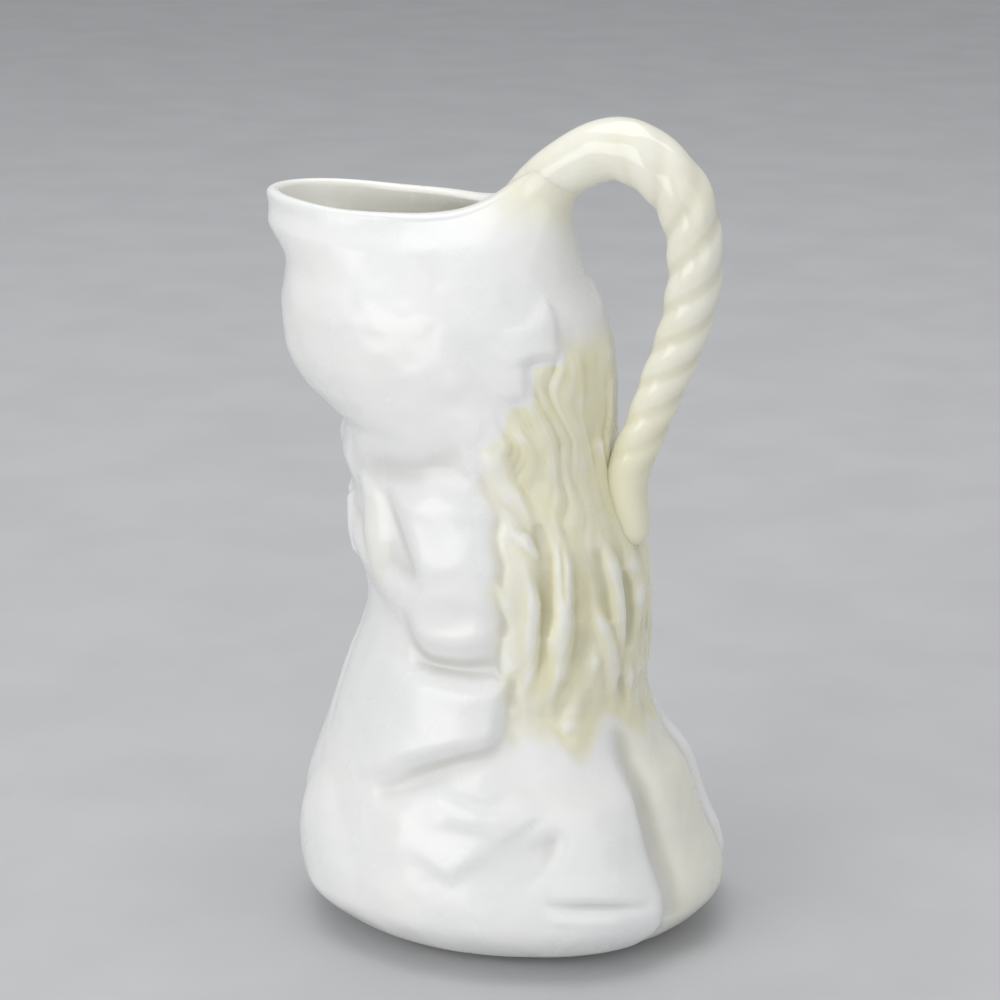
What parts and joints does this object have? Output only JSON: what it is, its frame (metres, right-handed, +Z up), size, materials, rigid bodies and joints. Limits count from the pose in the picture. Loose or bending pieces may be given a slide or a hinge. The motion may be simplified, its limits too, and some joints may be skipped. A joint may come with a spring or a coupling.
{
  "type": "creamer",
  "caption": "White porcelain cream jug cast as a hooded figure with long cream hair, a pouring spout and a rope-twist handle.",
  "frame": {"origin": "on the surface that the jug stands on, under the middle of its length and width", "axes": "+Z up, +X towards the handle, -X towards the spout; the XZ plane is the mirror plane"},
  "size_m": [0.0821, 0.0664, 0.1415],
  "materials": {
    "white_glaze": "gloss",
    "cream_glaze": "gloss",
    "slip_glaze": "gloss"
  },
  "bodies": {
    "root": {"vessel_body": "white_glaze", "handle": "cream_glaze", "upper_luting_slip": "slip_glaze", "lower_luting_slip": "slip_glaze"}
  },
  "joints": []
}
